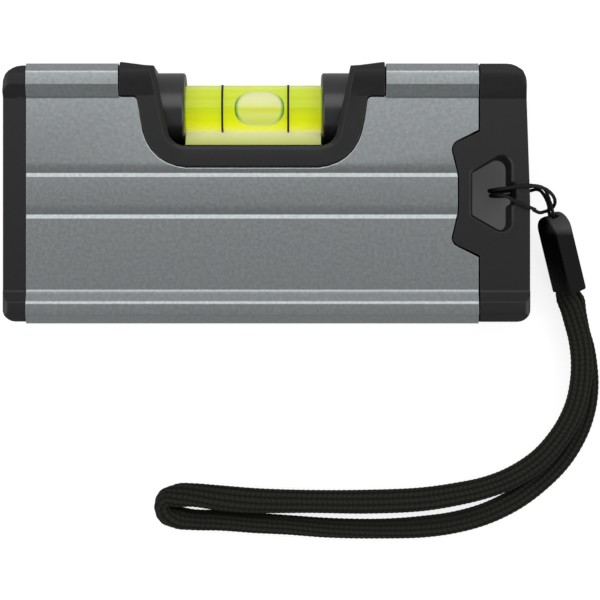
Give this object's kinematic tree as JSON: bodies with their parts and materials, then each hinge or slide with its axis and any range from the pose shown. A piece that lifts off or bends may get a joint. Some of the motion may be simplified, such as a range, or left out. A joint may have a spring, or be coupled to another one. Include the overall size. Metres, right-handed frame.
{
  "type": "pocket spirit level",
  "caption": "Pocket spirit level: hollow metal profile with a tube vial set in its top edge, black end caps and a braided wrist strap on a thread loop.",
  "frame": {"origin": "middle of the level's back, which it lies on; the cord is left out of the measure", "axes": "+X along the level towards the end with the strap, +Y up the level's height towards its vial, +Z from its back to its front"},
  "size_m": [0.1145, 0.0917, 0.02],
  "materials": {
    "profile": "satin silver-grey anodised",
    "cap": "black, semi-matt moulded",
    "sleeve": "black, glossy",
    "reflector": "pale, smooth",
    "tube": "clear acrylic tube",
    "liquid": "yellow-green fluorescent liquid",
    "bubble": "air",
    "line": "black printed ring",
    "thread": "black twisted thread",
    "buckle": "black, semi-matt moulded",
    "strap": "black tubular braid"
  },
  "bodies": {
    "level": {"body_extrusion": "profile", "end_cap_left": "cap", "end_cap_right": "cap", "vial_carrier": "cap", "vial_sleeve_left": "sleeve", "vial_sleeve_right": "sleeve", "vial_reflector": "reflector", "vial_tube": "tube", "vial_plug": "reflector", "vial_liquid": "liquid", "vial_line_left": "line", "vial_line_right": "line", "lanyard_thread": "thread", "thread_knot": "thread", "lanyard_buckle": "buckle", "lanyard_strap": "strap"},
    "bubble": {"bubble": "bubble"}
  },
  "joints": [
    {"name": "bubble_slide", "type": "slide", "parent": "level", "child": "bubble", "axis": [1, 0, 0], "range_m": [-0.0082, 0.0057]}
  ]
}
